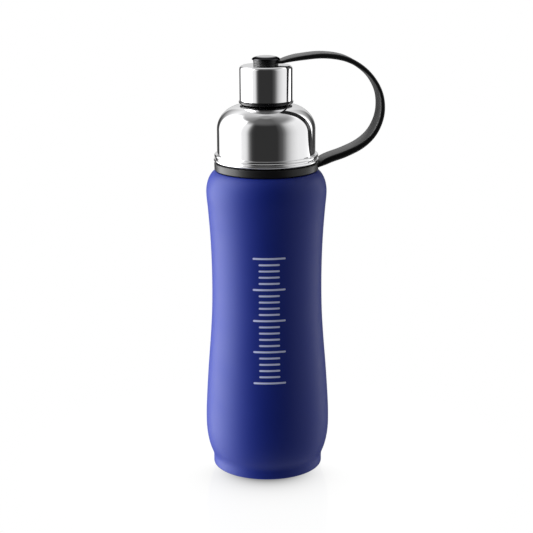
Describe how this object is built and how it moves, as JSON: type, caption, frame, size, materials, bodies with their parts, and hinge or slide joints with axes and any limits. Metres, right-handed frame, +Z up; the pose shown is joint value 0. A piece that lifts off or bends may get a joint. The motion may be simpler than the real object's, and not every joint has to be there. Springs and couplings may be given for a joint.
{
  "type": "insulated water bottle",
  "caption": "Double-wall steel sport bottle with a waisted body, a screw-on dome lid, a threaded spout cap and a looped carry strap.",
  "frame": {"origin": "centre of the flat base, on the bottle's axis, in the plane the bottle stands on", "axes": "+Z up along the bottle's axis, from the base to the spout cap; +X towards the loop of the carry strap; +Y away from the side of the body that is seen with the loop on the right"},
  "size_m": [0.1043, 0.073, 0.2453],
  "materials": {
    "powder_coat": "satin powder coat",
    "brushed_steel": "brushed",
    "polished_steel": "mirror polished",
    "liner_plastic": "moulded",
    "strap_elastomer": "satin moulded",
    "silicone": "translucent white",
    "seal_resin": "cast"
  },
  "bodies": {
    "bottle": {"outer_shell": "powder_coat", "foot_cup": "powder_coat", "base_disc": "brushed_steel", "vacuum_seal": "seal_resin", "getter_capsule": "brushed_steel", "inner_flask": "brushed_steel", "inner_bottom": "brushed_steel"},
    "lid_seal": {"lid_gasket": "silicone"},
    "lid": {"lid_shell": "polished_steel", "lid_liner": "liner_plastic", "spout_collar": "liner_plastic", "carry_strap": "strap_elastomer"},
    "strap_end": {"strap_eyelet": "strap_elastomer"},
    "spout_cap": {"spout_cap_shell": "polished_steel", "spout_cap_liner": "liner_plastic", "spout_cap_gasket": "silicone", "strap_washer": "liner_plastic", "rivet_button": "polished_steel", "rivet_washer": "brushed_steel"}
  },
  "joints": [
    {"name": "lid_lift", "type": "slide", "parent": "bottle", "child": "lid_seal", "axis": [0, 0, 1], "range_m": [0, 0.012]},
    {"name": "lid_turn", "type": "hinge", "parent": "lid_seal", "child": "lid", "pos_m": [0, 0, 0.1912], "axis": [0, 0, 1], "range_deg": [0, 1080]},
    {"name": "spout_cap_lift", "type": "slide", "parent": "lid", "child": "strap_end", "axis": [0, 0, 1], "range_m": [0, 0.0108]},
    {"name": "spout_cap_turn", "type": "hinge", "parent": "strap_end", "child": "spout_cap", "pos_m": [0, 0, 0.2386], "axis": [0, 0, 1], "range_deg": [0, 1080]}
  ],
  "couplings": [
    {"joint": "lid_lift", "follows": "lid_turn", "m_per_rad": 0.0006366},
    {"joint": "spout_cap_lift", "follows": "spout_cap_turn", "m_per_rad": 0.00057295}
  ]
}
